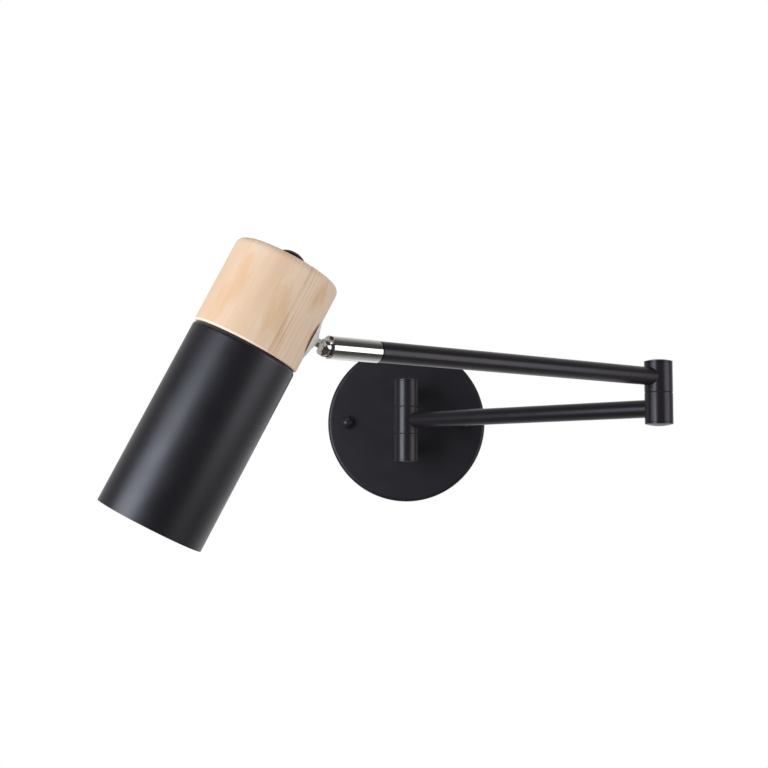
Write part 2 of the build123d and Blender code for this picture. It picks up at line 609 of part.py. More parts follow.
def make_wood_cap():
    """Turned wood block, bored from below, with a spot face for the flange and a top recess."""
    block = rod("z", wood_radius, 0, WOOD_HEIGHT)
    block = fillet(block.faces().sort_by(Axis.Z)[-1].edges(), WOOD_TOP_RADIUS)
    block = chamfer(block.faces().sort_by(Axis.Z)[0].edges(), WOOD_BOTTOM_CHAMFER)
    bore = rod("z", WOOD_BORE_RADIUS, -1, wood_bore_top)
    pad = slab(
        (WOOD_PAD_X, WOOD_BORE_RADIUS + 1),
        (-WOOD_BORE_RADIUS, WOOD_BORE_RADIUS),
        (WOOD_PAD_BOTTOM, wood_bore_top),
    )
    block -= bore - pad
    spot_radius = FLANGE_DIAMETER / 2 + FLANGE_SPOT_CLEARANCE
    spot = rod("x", spot_radius, wood_radius - FLANGE_SINK, wood_radius + 1)
    stem_hole = rod("x", thread_radius + RUNNING_CLEARANCE, 0, wood_radius)
    block -= Pos(0, 0, SIDE_JOINT_HEIGHT) * (spot + stem_hole)
    block -= rod("z", SWITCH_BUSHING_RADIUS, wood_bore_top - 1, WOOD_HEIGHT + 1)
    block -= rod("z", SWITCH_RECESS_RADIUS, WOOD_HEIGHT - SWITCH_RECESS_DEPTH, WOOD_HEIGHT + 1)
    pilot = Pos(SHADE_SCREW_CIRCLE, 0, 0) * rod("z", SHADE_SCREW_RADIUS, -1, SHADE_SCREW_LENGTH)
    for angle in shade_screw_angles():
        block -= Rot(0, 0, angle) * pilot
    return block


def make_side_flange():
    """Chrome flange let into the side of the wood: a thin disc with a shallow cone to the stem."""
    flange_radius = FLANGE_DIAMETER / 2
    inner_x = wood_radius - FLANGE_SINK
    cone_start = inner_x + FLANGE_EDGE_THICKNESS
    cone_end = flange_outer_x - RUNNING_CLEARANCE
    disc = rod("x", flange_radius, inner_x, cone_start)
    cone = Cone(flange_radius, FLANGE_TOP_DIAMETER / 2, cone_end - cone_start)
    disc += Pos((cone_start + cone_end) / 2, 0, 0) * Rot(0, 90, 0) * cone
    disc -= rod("x", thread_radius + RUNNING_CLEARANCE, 0, 2 * wood_radius)
    return Pos(0, 0, SIDE_JOINT_HEIGHT) * disc


def make_shade():
    """Spun metal cylinder, open below, with a rounded shoulder and a flat top under the wood."""
    outer = rod("z", shade_radius, -SHADE_LENGTH, 0)
    outer = fillet(outer.faces().sort_by(Axis.Z)[-1].edges(), SHADE_SHOULDER_RADIUS)
    hollow = rod("z", shade_radius - SHADE_SHEET, -SHADE_LENGTH - 1, -SHADE_SHEET)
    hollow = fillet(hollow.faces().sort_by(Axis.Z)[-1].edges(), SHADE_SHOULDER_RADIUS - SHADE_SHEET)
    shade = outer - hollow
    lip_radius = shade_radius - SHADE_SHEET / 2
    lip_inner = lip_radius - SHADE_SHEET / 2 - SHADE_LIP_THICKNESS
    shade += ring("z", lip_radius, lip_inner, -SHADE_LENGTH, -SHADE_LENGTH + SHADE_LIP_HEIGHT)
    shade -= rod("z", HOLDER_SKIRT_RADIUS + HOLDER_HOLE_CLEARANCE, -2 * SHADE_SHEET, 1)
    screw_hole = Pos(SHADE_SCREW_CIRCLE, 0, 0) * rod("z", SHADE_SCREW_RADIUS, -2 * SHADE_SHEET, 1)
    for angle in shade_screw_angles():
        shade -= Rot(0, 0, angle) * screw_hole
    return shade


def make_shade_screws():
    """Pan-head screws that hold the shade's flat top against the wood."""
    shank = rod("z", SHADE_SCREW_RADIUS, -SHADE_SHEET, SHADE_SCREW_LENGTH)
    head = rod("z", SHADE_SCREW_HEAD_RADIUS, -SHADE_SHEET - SHADE_SCREW_HEAD_HEIGHT, -SHADE_SHEET)
    head = chamfer(head.faces().sort_by(Axis.Z)[0].edges(), SHADE_SCREW_HEAD_HEIGHT / 3)
    screw = Pos(SHADE_SCREW_CIRCLE, 0, 0) * (shank + head)
    return Compound(children=[Rot(0, 0, angle) * screw for angle in shade_screw_angles()])


def make_lamp_holder():
    """Plastic lamp holder: skirt through the shade's top, shoulder above, narrower upper part."""
    holder = rod("z", HOLDER_SKIRT_RADIUS, -HOLDER_SKIRT_LENGTH, HOLDER_DOME_START)
    holder += rod("z", HOLDER_SHOULDER_RADIUS, 0, HOLDER_SHOULDER_HEIGHT)
    dome = rod("z", HOLDER_DOME_RADIUS, HOLDER_DOME_START, HOLDER_TOP)
    dome = chamfer(dome.faces().sort_by(Axis.Z)[-1].edges(), HOLDER_DOME_CHAMFER)
    holder += dome
    return holder - rod("z", HOLDER_BORE_RADIUS, -HOLDER_SKIRT_LENGTH - 1, HOLDER_BORE_TOP)


def make_holder_ring():
    """Ring nut on the skirt that clamps the shade's top from below, with finger notches."""
    low = -SHADE_SHEET - RING_HEIGHT
    nut = ring("z", RING_OUTER_RADIUS, HOLDER_SKIRT_RADIUS, low, -SHADE_SHEET)
    notch_middle = RING_OUTER_RADIUS + RING_NOTCH_RADIUS - RING_NOTCH_DEPTH
    notch = Pos(notch_middle, 0, 0) * rod("z", RING_NOTCH_RADIUS, low - 1, 0)
    for index in range(RING_NOTCHES):
        nut -= Rot(0, 0, index * 360 / RING_NOTCHES) * notch
    return nut


def make_holder_shell():
    """Thin brass screw shell inside the lamp holder."""
    low = HOLDER_BORE_TOP - SHELL_TOP_INSET - SHELL_HEIGHT
    inner_radius = HOLDER_BORE_RADIUS - SHELL_THICKNESS
    return ring("z", HOLDER_BORE_RADIUS, inner_radius, low, low + SHELL_HEIGHT)


def make_holder_contact():
    """Sprung centre contact: a strip under the bore's top with a raised tip."""
    half_width = CONTACT_WIDTH / 2
    low = HOLDER_BORE_TOP - CONTACT_THICKNESS
    half_length = CONTACT_LENGTH / 2
    strip = slab((-half_length, half_length), (-half_width, half_width), (low, HOLDER_BORE_TOP))
    return strip + rod("z", CONTACT_TIP_RADIUS, low - CONTACT_THICKNESS, low)


def bulb_button_top():
    """Height of the bulb's end contact, where it meets the holder's centre contact."""
    return HOLDER_BORE_TOP - 2 * CONTACT_THICKNESS


def bulb_cap_mouth():
    """Height of the lower end of the bulb's screw cap."""
    return bulb_button_top() - BULB_BUTTON_HEIGHT - BULB_CAP_LENGTH


def make_bulb_cap():
    """Screw cap of the bulb, as its thread's outer size, with a conical shoulder and end contact."""
    mouth = bulb_cap_mouth()
    top = mouth + BULB_CAP_LENGTH
    cap = rod("z", BULB_CAP_RADIUS, mouth, top)
    cap = chamfer(cap.faces().sort_by(Axis.Z)[-1].edges(), BULB_CAP_SHOULDER)
    cap += rod("z", BULB_BUTTON_RADIUS, top, top + BULB_BUTTON_HEIGHT)
    return cap - rod("z", BULB_NECK_RADIUS - BULB_CAP_SHEET, mouth - 1, mouth + BULB_CAP_HOLLOW)


def make_bulb_glass():
    """Small round bulb: a sealed globe with a neck that ends under the cap."""
    mouth = bulb_cap_mouth()
    middle = mouth - BULB_GLOBE_DROP
    neck_inner = BULB_NECK_RADIUS - BULB_GLASS_THICKNESS
    inside = BULB_GLOBE_RADIUS - BULB_GLASS_THICKNESS
    globe = Pos(0, 0, middle) * Sphere(BULB_GLOBE_RADIUS)
    globe += rod("z", BULB_NECK_RADIUS, middle, mouth)
    globe -= Pos(0, 0, middle) * Sphere(inside)
    return globe - rod("z", neck_inner, middle, mouth - BULB_GLASS_THICKNESS)


def make_rotary_switch():
    """Round switch under the wood's top, with a threaded bushing up to the recess."""
    body = rod("z", SWITCH_BODY_RADIUS, wood_bore_top - SWITCH_BODY_HEIGHT, wood_bore_top)
    bushing_top = WOOD_HEIGHT - SWITCH_BUSHING_INSET
    body += rod("z", SWITCH_BUSHING_RADIUS, wood_bore_top, bushing_top)
    socket_low = spindle_low() - SPINDLE_END_GAP
    return body - rod("z", SPINDLE_RADIUS + RUNNING_CLEARANCE, socket_low, WOOD_HEIGHT)


def make_switch_nut():
    """Nut in the recess under the knob."""
    low = WOOD_HEIGHT - SWITCH_RECESS_DEPTH
    return hex_nut("z", SWITCH_NUT_ACROSS_FLATS, SWITCH_BUSHING_RADIUS, low, low + SWITCH_NUT_HEIGHT)


def spindle_low():
    """Lower end of the switch's spindle, inside the switch."""
    return wood_bore_top - SPINDLE_DEPTH


def make_switch_spindle():
    """Spindle that the knob turns."""
    top = WOOD_HEIGHT + KNOB_GAP + KNOB_GRIP_ON_SPINDLE
    return rod("z", SPINDLE_RADIUS, spindle_low(), top)


def make_switch_knob():
    """Round knob with a fluted skirt and a domed top, pushed on the spindle."""
    low = WOOD_HEIGHT + KNOB_GAP
    dome_height = KNOB_HEIGHT - KNOB_SKIRT_HEIGHT
    knob_radius = KNOB_DIAMETER / 2
    dome_radius = (knob_radius**2 + dome_height**2) / (2 * dome_height)
    ball = Pos(0, 0, low + KNOB_HEIGHT - dome_radius) * Sphere(dome_radius)
    knob = rod("z", knob_radius, low, low + KNOB_HEIGHT) & ball
    flute = Pos(knob_radius + KNOB_FLUTE_RADIUS / 3, 0, 0) * rod(
        "z", KNOB_FLUTE_RADIUS, low - 1, low + KNOB_SKIRT_HEIGHT
    )
    for index in range(KNOB_FLUTES):
        knob -= Rot(0, 0, index * 360 / KNOB_FLUTES) * flute
    return knob - rod("z", SPINDLE_RADIUS, low - 1, low + KNOB_GRIP_ON_SPINDLE)


# ---------------------------------------------------------------- write every node
os.makedirs("parts", exist_ok=True)

save("wall_crossbar", make_wall_crossbar(), wall_frame)
save("canopy", make_canopy(), wall_frame)
save("canopy_studs", make_canopy_studs(), wall_frame)
save("canopy_cap_nuts", make_cap_nuts(), wall_frame)
save("terminal_block", make_terminal_block(), wall_frame)
save("terminal_screws", make_terminal_screws(), wall_frame)
save("earth_screw", make_earth_screw(), wall_frame)
save("upper_neck", make_neck(1), wall_frame)
save("lower_neck", make_neck(-1), wall_frame)
neck_washers, neck_nuts = make_neck_fasteners()
save("neck_washers", neck_washers, wall_frame)
save("neck_nuts", neck_nuts, wall_frame)

hub_pin_end = KNUCKLE_PITCH * 3 / 2 - PIN_END_INSET
save("hub_upper_knuckle", make_hub_knuckle(1), hub_upright)
save("hub_lower_knuckle", make_hub_knuckle(-1), hub_upright)
save("hub_pivot_pin", make_pivot_pin(-hub_pin_end, hub_pin_end, [0]), hub_frame)
save("hub_end_caps", make_hub_end_caps(), hub_upright)
hub_washers = [make_bearing_washer(side * KNUCKLE_PITCH / 2) for side in (-1, 1)]
save("hub_bearing_washers", Compound(children=hub_washers), hub_upright)

half_knuckle = knuckle_height / 2
end_seat = KNUCKLE_PITCH / 2 - CAP_EDGE_HEIGHT
running_bore = pin_radius + RUNNING_CLEARANCE
save("lower_arm_knuckle", make_arm_knuckle(running_bore, -half_knuckle, half_knuckle), hub_frame)
save("lower_arm_tube", make_arm_tube(LOWER_ARM_LENGTH, True), hub_frame)
save("elbow_lower_knuckle", make_arm_knuckle(pin_radius, -end_seat, half_knuckle), elbow_frame)
elbow_nut_low = KNUCKLE_PITCH * 3 / 2 - CAP_EDGE_HEIGHT - ELBOW_COUNTERBORE_DEPTH + RUNNING_CLEARANCE
elbow_pin_top = elbow_nut_low + ELBOW_NUT_HEIGHT + ELBOW_PIN_PROUD
elbow_pin_low = -KNUCKLE_PITCH / 2 + PIN_END_INSET
save("elbow_pivot_pin", make_pivot_pin(elbow_pin_low, elbow_pin_top, [0]), elbow_frame)
elbow_nut = hex_nut(
    "z", ELBOW_NUT_ACROSS_FLATS, pin_radius, elbow_nut_low, elbow_nut_low + ELBOW_NUT_HEIGHT
)
save("elbow_pin_nut", elbow_nut, elbow_frame)
save("elbow_bearing_washer", make_bearing_washer(KNUCKLE_PITCH / 2), elbow_frame)
save("elbow_bottom_cap", Pos(0, 0, -end_seat) * Rot(180, 0, 0) * make_end_cap(pin_radius), elbow_frame)

elbow_upper_knuckle = make_arm_knuckle(running_bore, -half_knuckle, end_seat)
counterbore_floor = end_seat - ELBOW_COUNTERBORE_DEPTH
elbow_upper_knuckle -= rod("z", ELBOW_COUNTERBORE_RADIUS, counterbore_floor, end_seat + 1)
save("elbow_upper_knuckle", elbow_upper_knuckle, upper_frame)
save("elbow_top_cap", Pos(0, 0, end_seat) * make_end_cap(ELBOW_COUNTERBORE_RADIUS), upper_frame)
upper_tube_length = UPPER_ARM_LENGTH - FORK_SHOULDER - FORK_BODY_LENGTH - RUNNING_CLEARANCE
save("upper_arm_tube", make_arm_tube(upper_tube_length, False), upper_frame)
save("fork_bush", make_fork_bush(), upper_frame)

save("swivel_fork", make_swivel_fork(), fork_frame)
save("fork_retaining_nut", make_fork_retaining_nut(), fork_frame)
save("pivot_screw", make_pivot_screw(), fork_frame)
save("pivot_nut", make_pivot_nut(), fork_frame)
save("swivel_tongue", make_swivel_tongue(), tongue_frame)
save("stem_washer", make_stem_washer(), tongue_frame)
save("stem_nut", make_stem_nut(), tongue_frame)

save("side_flange", make_side_flange(), head_frame)
save("wood_cap", make_wood_cap(), head_frame)
save("shade", make_shade(), head_frame)
save("shade_screws", make_shade_screws(), head_frame)
save("lamp_holder", make_lamp_holder(), head_frame)
save("holder_ring", make_holder_ring(), head_frame)
save("holder_shell", make_holder_shell(), head_frame)
save("holder_contact", make_holder_contact(), head_frame)
save("bulb_cap", make_bulb_cap(), head_frame)
save("bulb_glass", make_bulb_glass(), head_frame)
save("rotary_switch", make_rotary_switch(), head_frame)
save("switch_nut", make_switch_nut(), head_frame)
save("switch_spindle", make_switch_spindle(), head_frame)
save("switch_knob", make_switch_knob(), head_frame)

for label, point in (
    ("hub", hub_point),
    ("elbow", elbow_point),
    ("pivot", pivot_point),
    ("head", head_point),
):
    print(label, [round(value, 3) for value in point])
for label, direction in (
    ("arm", upper_direction),
    ("screw", screw_direction),
    ("side", side_direction),
    ("axis", head_direction),
):
    print(label, [round(value, 6) for value in direction])
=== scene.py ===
import json
from math import cos, pi, radians, sin

import bmesh
import bpy
from mathutils import Matrix, Vector

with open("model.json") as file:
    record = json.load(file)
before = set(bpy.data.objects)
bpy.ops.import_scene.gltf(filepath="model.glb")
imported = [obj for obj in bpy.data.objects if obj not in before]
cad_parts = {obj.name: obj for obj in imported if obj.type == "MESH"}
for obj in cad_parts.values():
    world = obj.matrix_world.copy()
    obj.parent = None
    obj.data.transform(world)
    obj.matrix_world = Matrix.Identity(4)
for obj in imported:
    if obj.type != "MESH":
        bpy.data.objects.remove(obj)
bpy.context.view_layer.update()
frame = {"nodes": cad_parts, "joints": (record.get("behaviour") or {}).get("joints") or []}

nodes = frame["nodes"]
joints = {joint["name"]: joint for joint in frame["joints"]}


# ---------------------------------------------------------------- wall crossbar and its studs
# Zinc-plated steel strap that is screwed to the wall, with the two studs that carry the canopy.
# Punched from sheet and plated, so it is dull with soft patches.
def new_material(name):
    """A material with its node tree, and the tree's shader."""
    material = bpy.data.materials.new(name)
    material.use_nodes = True
    return material, material.node_tree, material.node_tree.nodes["Principled BSDF"]


def add_place(tree, turn=None, centre=(0, 0, 0)):
    """The object's own coordinates, from a centre and in the turned axes of a piece."""
    place = tree.nodes.new("ShaderNodeTexCoord")
    if turn is None:
        return place.outputs["Object"]
    mapping = tree.nodes.new("ShaderNodeMapping")
    inverse = turn.transposed()
    mapping.inputs["Rotation"].default_value = inverse.to_euler()
    mapping.inputs["Location"].default_value = -(inverse @ Vector(centre))
    tree.links.new(place.outputs["Object"], mapping.inputs["Vector"])
    return mapping.outputs["Vector"]


def add_noise(tree, place, size, detail, stretch=(1, 1, 1), distortion=0.0):
    """A noise whose largest feature is size metres, drawn out along an axis by a small stretch."""
    mapping = tree.nodes.new("ShaderNodeMapping")
    mapping.inputs["Scale"].default_value = stretch
    noise = tree.nodes.new("ShaderNodeTexNoise")
    noise.inputs["Scale"].default_value = 1 / size
    noise.inputs["Detail"].default_value = detail
    noise.inputs["Distortion"].default_value = distortion
    tree.links.new(place, mapping.inputs["Vector"])
    tree.links.new(mapping.outputs["Vector"], noise.inputs["Vector"])
    return noise.outputs["Fac"]


def add_ramp(tree, source, stops):
    """A colour ramp over a value, from pairs of place and colour."""
    ramp = tree.nodes.new("ShaderNodeValToRGB")
    while len(ramp.color_ramp.elements) < len(stops):
        ramp.color_ramp.elements.new(0.5)
    for element, (place, colour) in zip(ramp.color_ramp.elements, stops):
        element.position = place
        element.color = (*colour, 1)
    tree.links.new(source, ramp.inputs["Fac"])
    return ramp.outputs["Color"]


def add_range(tree, source, low, high, start=0.3, end=0.7):
    """A value between low and high that follows a source between start and end."""
    spread = tree.nodes.new("ShaderNodeMapRange")
    spread.inputs["From Min"].default_value = start
    spread.inputs["From Max"].default_value = end
    spread.inputs["To Min"].default_value = low
    spread.inputs["To Max"].default_value = high
    tree.links.new(source, spread.inputs["Value"])
    return spread.outputs["Result"]


def add_bump(tree, shader, source, height):
    """A bump of a real height in metres."""
    bump = tree.nodes.new("ShaderNodeBump")
    bump.inputs["Strength"].default_value = 1.0
    bump.inputs["Distance"].default_value = height
    tree.links.new(source, bump.inputs["Height"])
    tree.links.new(bump.outputs["Normal"], shader.inputs["Normal"])


def new_clouded(name, size, detail, dark, light, smooth, rough, stops=(0.3, 0.7),
                stretch=(1, 1, 1), turn=None, centre=(0, 0, 0)):
    """A finish whose colour and roughness both follow one noise."""
    material, tree, shader = new_material(name)
    cloud = add_noise(tree, add_place(tree, turn, centre), size, detail, stretch)
    tone = add_ramp(tree, cloud, list(zip(stops, (dark, light))))
    tree.links.new(tone, shader.inputs["Base Color"])
    tree.links.new(add_range(tree, cloud, smooth, rough), shader.inputs["Roughness"])
    return material, tree, shader


def dress(material, *names):
    """Gives CAD nodes one finish."""
    for name in names:
        mesh = nodes[name].data
        mesh.materials.clear()
        mesh.materials.append(material)


zinc, tree, shader = new_clouded(
    "zinc_plate", size=0.006, detail=5, dark=(0.42, 0.43, 0.44), light=(0.62, 0.62, 0.6),
    smooth=0.28, rough=0.45, stops=(0.35, 0.65))
shader.inputs["Metallic"].default_value = 1.0
add_bump(tree, shader, add_noise(tree, add_place(tree), size=0.0008, detail=3), height=0.000008)
dress(zinc, "wall_crossbar", "canopy_studs")


# ---------------------------------------------------------------- canopy
# The round pan that covers the crossbar and its wiring. Spun from 1.2 mm steel with a rounded
# edge, and sprayed with a satin black lacquer that has a slight orange peel.
def new_black_paint(name, colour, smooth, rough):
    """Satin black paint: nearly black, with an uneven sheen and a fine orange peel."""
    material, tree, shader = new_material(name)
    place = add_place(tree)
    cloud = add_noise(tree, place, size=0.035, detail=4)
    dark = tuple(0.9 * channel for channel in colour)
    tree.links.new(add_ramp(tree, cloud, [(0.3, dark), (0.7, colour)]), shader.inputs["Base Color"])
    sheen = add_noise(tree, place, size=0.018, detail=6)
    tree.links.new(add_range(tree, sheen, smooth, rough), shader.inputs["Roughness"])
    shader.inputs["Specular Tint"].default_value = (0.90, 0.91, 1.0, 1)
    add_bump(tree, shader, add_noise(tree, place, size=0.0011, detail=2), height=0.000003)
    return material, tree, shader


canopy_lacquer, tree, shader = new_black_paint(
    "canopy_lacquer", (0.0110, 0.0095, 0.0128), smooth=0.38, rough=0.44)
dress(canopy_lacquer, "canopy")

# ---------------------------------------------------------------- acorn nuts on the studs
# Two domed nuts that hold the canopy to the studs. Turned from hexagon bar and sprayed with the
# same black as the canopy, but a little glossier, as small turned parts come out.
nut_lacquer, tree, shader = new_black_paint(
    "nut_lacquer", (0.017, 0.0165, 0.017), smooth=0.30, rough=0.36)
dress(nut_lacquer, "canopy_cap_nuts")

# ---------------------------------------------------------------- terminal block and earth screw
# The plug-in point for the house wiring behind the canopy: a moulded nylon block with plated
# screws, and the earth screw with its washer on the crossbar.
block_nylon, tree, shader = new_clouded(
    "terminal_nylon", size=0.008, detail=4, dark=(0.72, 0.71, 0.67), light=(0.80, 0.79, 0.75),
    smooth=0.42, rough=0.55)
shader.inputs["Subsurface Weight"].default_value = 0.15
shader.inputs["Subsurface Radius"].default_value = (0.002, 0.002, 0.0015)
add_bump(tree, shader, add_noise(tree, add_place(tree), size=0.0004, detail=2), height=0.000012)
dress(block_nylon, "terminal_block")
dress(zinc, "terminal_screws", "earth_screw")

# ---------------------------------------------------------------- necks and their fasteners
# Two short turned necks that stand off the canopy and carry the hub, each with a spigot through
# the canopy's face and a washer and nut behind it. The necks are black, the fasteners plated.
black_lacquer, tree, shader = new_black_paint(
    "black_lacquer", (0.0148, 0.0124, 0.0156), smooth=0.27, rough=0.32)
dress(black_lacquer, "upper_neck", "lower_neck")
dress(zinc, "neck_washers", "neck_nuts")

# ---------------------------------------------------------------- hub
# Upper and lower knuckles of the wall hinge, turned from bar and sprayed black, with a hollow
# steel pin through them, crowned caps on the ends and thin nylon washers in the seams.
pin_steel, tree, shader = new_clouded(
    "turned_pin_steel", size=0.002, detail=4, dark=(0.50, 0.50, 0.51), light=(0.66, 0.66, 0.66),
    smooth=0.18, rough=0.32, stretch=(0.05, 0.05, 1.0))
shader.inputs["Metallic"].default_value = 1.0

washer_nylon, tree, shader = new_clouded(
    "washer_nylon", size=0.004, detail=4, dark=(0.055, 0.054, 0.055),
    light=(0.075, 0.073, 0.072), smooth=0.45, rough=0.6)
shader.inputs["Subsurface Weight"].default_value = 0.1
shader.inputs["Subsurface Radius"].default_value = (0.001, 0.001, 0.001)

dress(black_lacquer, "hub_upper_knuckle", "hub_lower_knuckle", "hub_end_caps")
dress(pin_steel, "hub_pivot_pin")
dress(washer_nylon, "hub_bearing_washers")

# ---------------------------------------------------------------- lower arm
# Drawn steel tube coped to a saddle and welded to its knuckle, which turns on the hub's pin.
# The whole arm is sprayed in one go.
dress(black_lacquer, "lower_arm_knuckle", "lower_arm_tube")

# ---------------------------------------------------------------- elbow
# The same drum hinge as the hub with two knuckles: the lower arm's below and the upper arm's
# above, held by a hollow pin with a nut, under crowned caps.
dress(black_lacquer, "elbow_lower_knuckle", "elbow_upper_knuckle", "elbow_top_cap",
      "elbow_bottom_cap")
dress(pin_steel, "elbow_pivot_pin")
dress(zinc, "elbow_pin_nut")
dress(washer_nylon, "elbow_bearing_washer")

# ---------------------------------------------------------------- upper arm
# Drawn steel tube, welded to its knuckle at the elbow, with a nylon bush pressed into the free
# end for the swivel's spigot.
dress(black_lacquer, "upper_arm_tube")
dress(washer_nylon, "fork_bush")

# ---------------------------------------------------------------- swivel
# Turned brass fork with a slotted screw and nut across its ears, all nickel-chrome plated. The
# lathe leaves faint rings under the plate, and fingers leave soft smudges on it.
CHROME_DARK = (0.70, 0.69, 0.67)
CHROME_LIGHT = (0.78, 0.77, 0.75)
LATHE_RINGS = {"size": 0.0012, "detail": 3, "stretch": (0.03, 0.03, 1.0)}

arm_line = Vector(joints["fork_roll"]["axis"])
screw_line = Vector(joints["head_tilt"]["axis"])
swivel_centre = Vector(joints["fork_roll"]["pos_m"])
swivel_turn = Matrix((screw_line, arm_line.cross(screw_line), arm_line)).transposed()

fork_chrome, tree, shader = new_clouded(
    "fork_chrome", size=0.009, detail=5, dark=CHROME_DARK, light=CHROME_LIGHT,
    smooth=0.07, rough=0.13, turn=swivel_turn, centre=swivel_centre)
shader.inputs["Metallic"].default_value = 1.0
rings = add_noise(tree, add_place(tree, swivel_turn, swivel_centre), **LATHE_RINGS)
add_bump(tree, shader, rings, height=0.0000015)
dress(fork_chrome, "swivel_fork", "pivot_screw", "pivot_nut", "fork_retaining_nut")

# ---------------------------------------------------------------- stem and side flange
# The tongue between the fork's ears, its threaded stem through the side of the wood, and the
# satin flange that the stem's shoulder clamps against the wood.
SATIN_FROM = -0.0068                # along the stem, from the swivel's screw
POLISHED_FROM = -0.0056

head_axis = Vector(joints["knob_turn"]["axis"])
head_side = Vector(joints["head_spin"]["axis"])
head_centre = Vector(joints["knob_turn"]["pos_m"])
head_turn = Matrix((head_side, head_axis.cross(head_side), head_axis)).transposed()
stem_turn = Matrix((head_axis.cross(head_side), head_axis, head_side)).transposed()


def mix_colour(tree, amount, first, second):
    """Two colours mixed by a value."""
    mix = tree.nodes.new("ShaderNodeMix")
    mix.data_type = "RGBA"
    tree.links.new(amount, mix.inputs["Factor"])
    for socket, colour in (("A", first), ("B", second)):
        sockets = [one for one in mix.inputs if one.name == socket and one.type == "RGBA"]
        if isinstance(colour, tuple):
            sockets[0].default_value = (*colour, 1)
        else:
            tree.links.new(colour, sockets[0])
    return [one for one in mix.outputs if one.type == "RGBA"][0]


def add_maths(tree, operation, first, second=None):
    """One sum on values."""
    sum_node = tree.nodes.new("ShaderNodeMath")
    sum_node.operation = operation
    for socket, value in zip(sum_node.inputs, (first, second)):
        if value is None:
            continue
        if isinstance(value, (int, float)):
            socket.default_value = value
        else:
            tree.links.new(value, socket)
    return sum_node.outputs["Value"]


def add_square_sum(tree, first, second):
    """The squares of two values, added."""
    squares = [add_maths(tree, "MULTIPLY", value, value) for value in (first, second)]
    return add_maths(tree, "ADD", *squares)


def add_parts(tree, place):
    """The X, Y and Z of a place."""
    parts = tree.nodes.new("ShaderNodeSeparateXYZ")
    tree.links.new(place, parts.inputs["Vector"])
    return [parts.outputs[axis] for axis in "XYZ"]


def new_satin_nickel(name, polished_disc):
    """Pale satin nickel over a turned part; its disc can stay as bright as the fork."""
    material, tree, shader = new_material(name)
    place = add_place(tree, stem_turn, swivel_centre)
    cloud = add_noise(tree, place, size=0.007, detail=4)
    tone = add_ramp(tree, cloud, [(0.3, (0.90, 0.88, 0.865)), (0.7, (0.95, 0.935, 0.92))])
    metal = add_range(tree, cloud, 0.22, 0.28)
    rough = add_range(tree, cloud, 0.24, 0.34)
    if polished_disc:
        along_stem = add_parts(tree, place)[2]
        disc = add_range(tree, along_stem, 0.0, 1.0, SATIN_FROM, POLISHED_FROM)
        bright = add_ramp(tree, cloud, [(0.3, CHROME_DARK), (0.7, CHROME_LIGHT)])
        tone = mix_colour(tree, disc, tone, bright)
        metal = add_maths(tree, "MAXIMUM", metal, disc)
        rough = add_maths(tree, "SUBTRACT", rough, add_maths(tree, "MULTIPLY", disc, 0.18))
    tree.links.new(tone, shader.inputs["Base Color"])
    tree.links.new(metal, shader.inputs["Metallic"])
    tree.links.new(rough, shader.inputs["Roughness"])
    add_bump(tree, shader, add_noise(tree, place, **LATHE_RINGS), height=0.000002)
    return material


dress(new_satin_nickel("tongue_nickel", polished_disc=True), "swivel_tongue")
dress(new_satin_nickel("flange_nickel", polished_disc=False), "side_flange")
dress(zinc, "stem_washer", "stem_nut")

# ---------------------------------------------------------------- wood cap
# The upper half of the head, turned from one block of pale rubberwood with the grain along the
# axis, bored out from below, with a large round on the top edge. Sanded and oiled matt.
WOOD_PALE = (0.685, 0.53, 0.395)
WOOD_MIDDLE = (0.66, 0.475, 0.325)
WOOD_WARM = (0.63, 0.38, 0.18)
WOOD_BROWN = (0.53, 0.34, 0.205)
WOOD_ROSE = (0.74, 0.51, 0.39)
WOOD_SHADED_SIDE_FILL = (0.93, 0.745, 0.57)      # painted fill light: the right side, away from the key light, made paler
WOOD_LINE = (0.36, 0.21, 0.12)
WOOD_EDGE_HIGHLIGHT = (0.97, 0.86, 0.74)      # painted highlight along the lower edge, fading to the right
TREE_CENTRE = (-0.08, -0.034)       # middle of the growth rings, across the grain
RING_SPACING = 0.0026
END_GRAIN_LOW = 0.0530              # end grain fades in up the round of the top edge
END_GRAIN_TOP = 0.0574
LINE_CORE = 0.00008                 # half widths of a dark grain line
LINE_EDGE = 0.00036
GRAIN_LINES = (                     # place across the grain, and strength
    (0.0141, 0.90), (0.0150, 0.55), (0.0174, 0.58), (0.0193, 0.28), (0.0216, 0.25), (0.0246, 0.25))
WARM_PLACES = (                     # place across, height up the grain, and reach along it
    (-0.0192, 0.032, 0.014), (-0.0245, 0.013, 0.011), (0.0248, 0.043, 0.009))
BROWN_PLACES = ((-0.0020, 0.036, 0.020), (0.0075, 0.016, 0.016))

pale_wood, tree, shader = new_material("pale_wood")
place = add_place(tree, head_turn, head_centre)
wood_x, wood_y, wood_z = add_parts(tree, place)
broad = add_noise(tree, place, size=0.022, detail=3, stretch=(1, 1, 0.25))
cloudy = add_noise(tree, place, size=0.0075, detail=4, stretch=(1, 1, 0.30), distortion=0.5)
wood = add_ramp(tree, broad, [(0.38, WOOD_MIDDLE), (0.62, WOOD_PALE)])


def add_blotch(wood, colour, centre, height, reach, width, strength):
    """A soft patch of figure, drawn out along the grain and broken up by the cloudy noise."""
    sideways = add_maths(tree, "DIVIDE", add_maths(tree, "SUBTRACT", wood_x, centre), width)
    along = add_maths(tree, "DIVIDE", add_maths(tree, "SUBTRACT", wood_z, height), reach)
    spread = add_square_sum(tree, sideways, along)
    spread = add_maths(tree, "SUBTRACT", spread, add_range(tree, cloudy, -1.0, 1.3))
    return mix_colour(tree, add_range(tree, spread, strength, 0.0, -0.8, 1.6), wood, colour)
